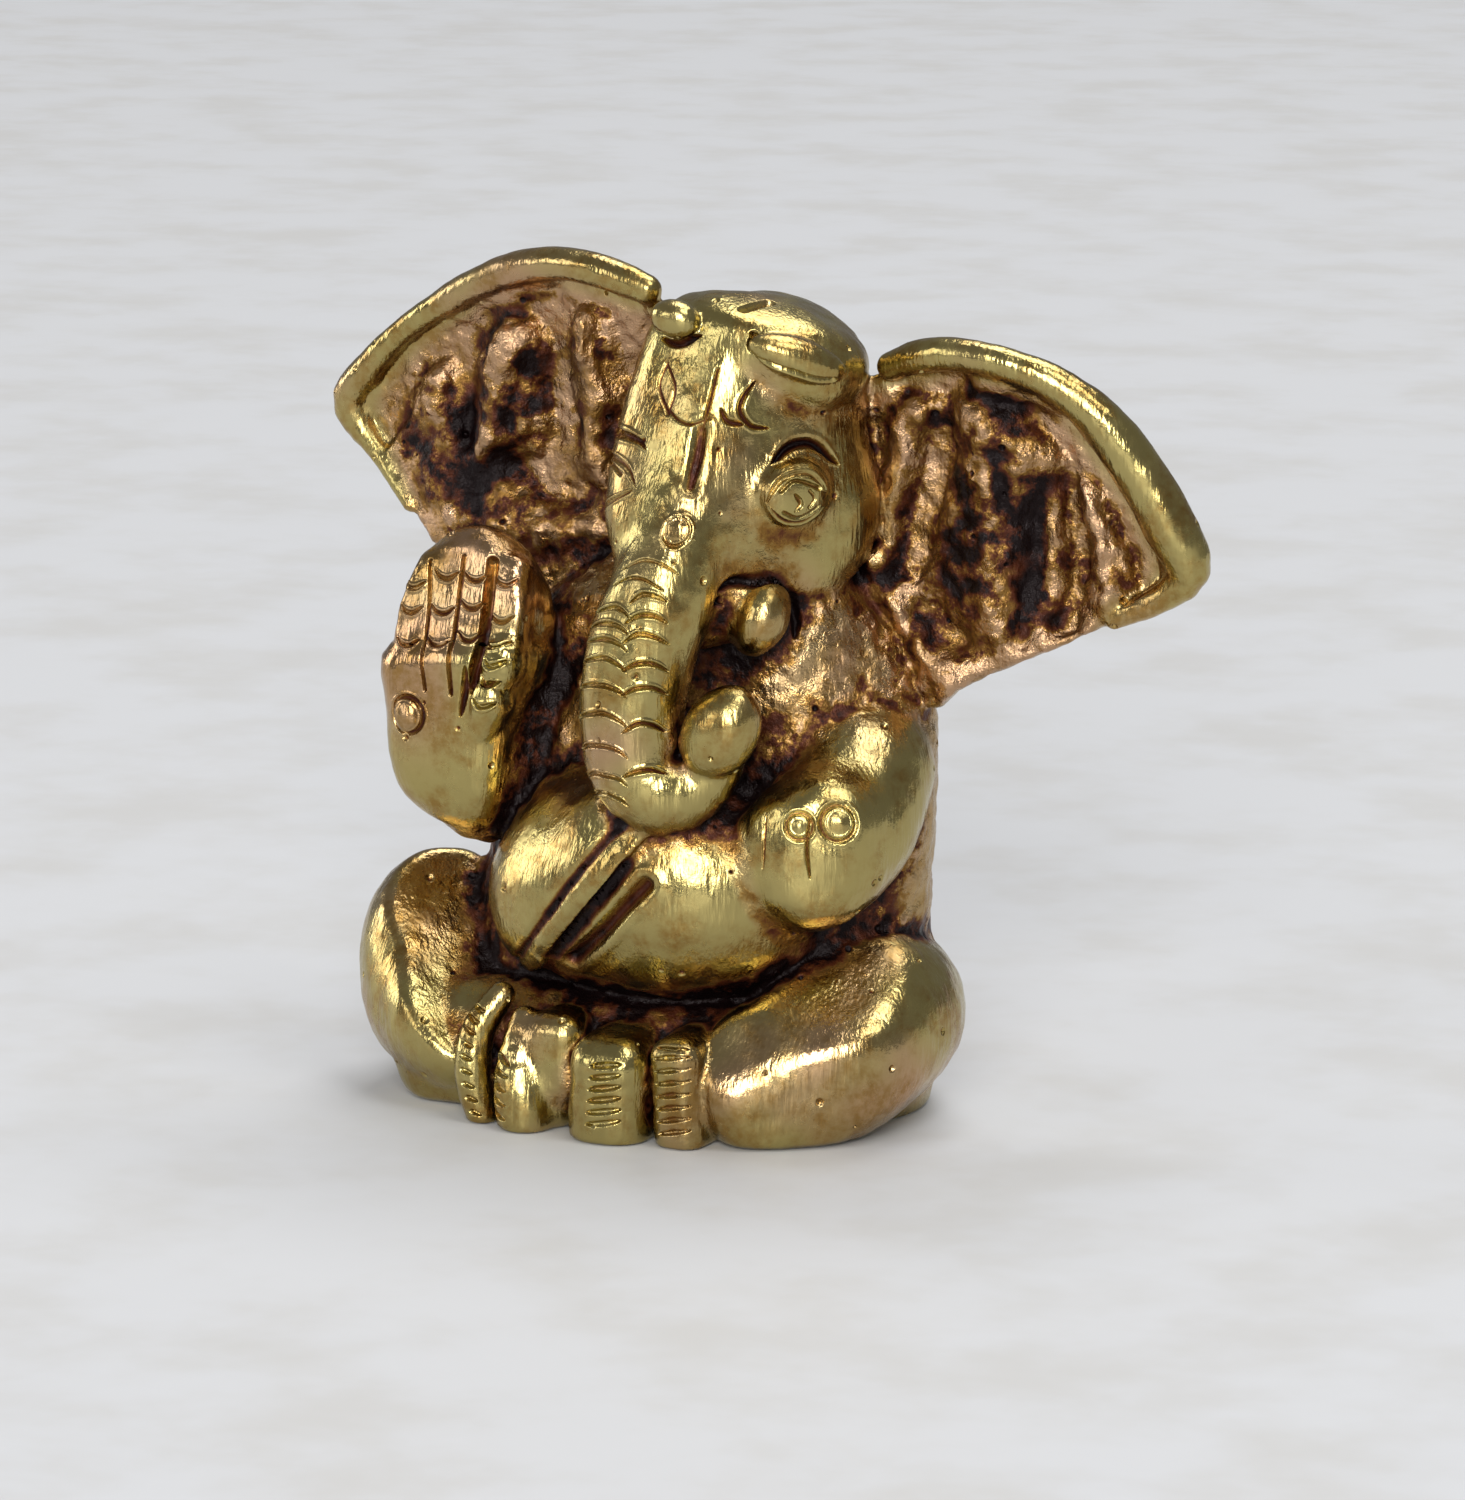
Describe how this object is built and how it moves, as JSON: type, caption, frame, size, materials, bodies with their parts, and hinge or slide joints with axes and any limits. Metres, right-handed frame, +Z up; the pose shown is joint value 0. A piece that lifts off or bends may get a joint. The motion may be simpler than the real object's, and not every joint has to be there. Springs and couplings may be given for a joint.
{
  "type": "ganesha idol",
  "caption": "Small seated elephant-headed figure in solid antiqued brass, with wide ears, a raised blessing hand and a curled trunk, standing free on a flat underside.",
  "frame": {"origin": "centre of the bounding box in plan, on the flat underside", "axes": "+X towards the figure's left ear, +Y towards its back, +Z up"},
  "size_m": [0.0572, 0.0239, 0.0504],
  "materials": {
    "polished_brass": "yellow brass rubbed bright on the high points, with dark brown patina left in the hollows",
    "chased_brass": "polished brass with chased lines that hold dark patina",
    "patinated_brass": "rough as-cast surface with a coppery, dark reddish-brown patina"
  },
  "bodies": {
    "root": {"seat": "polished_brass", "torso": "patinated_brass", "right_shoulder": "patinated_brass", "left_shoulder": "patinated_brass", "belly": "polished_brass", "sash_upper_band": "chased_brass", "sash_lower_band": "chased_brass", "head": "polished_brass", "crown_cap": "polished_brass", "crown_lump_right": "chased_brass", "crown_lobe_left": "chased_brass", "right_eye": "chased_brass", "left_eye": "chased_brass", "forehead_dot": "chased_brass", "trunk": "chased_brass", "trunk_tip": "polished_brass", "right_tusk": "polished_brass", "left_tusk": "polished_brass", "right_ear": "patinated_brass", "left_ear": "patinated_brass", "right_ear_rim": "polished_brass", "left_ear_rim": "polished_brass", "right_arm": "patinated_brass", "right_palm": "polished_brass", "right_fingers": "chased_brass", "right_thumb": "chased_brass", "palm_dot": "chased_brass", "left_arm": "polished_brass", "left_hand": "polished_brass", "right_leg": "polished_brass", "left_leg": "polished_brass", "right_foot": "polished_brass", "left_foot": "polished_brass", "right_anklet": "chased_brass", "left_anklet": "chased_brass"}
  },
  "joints": []
}
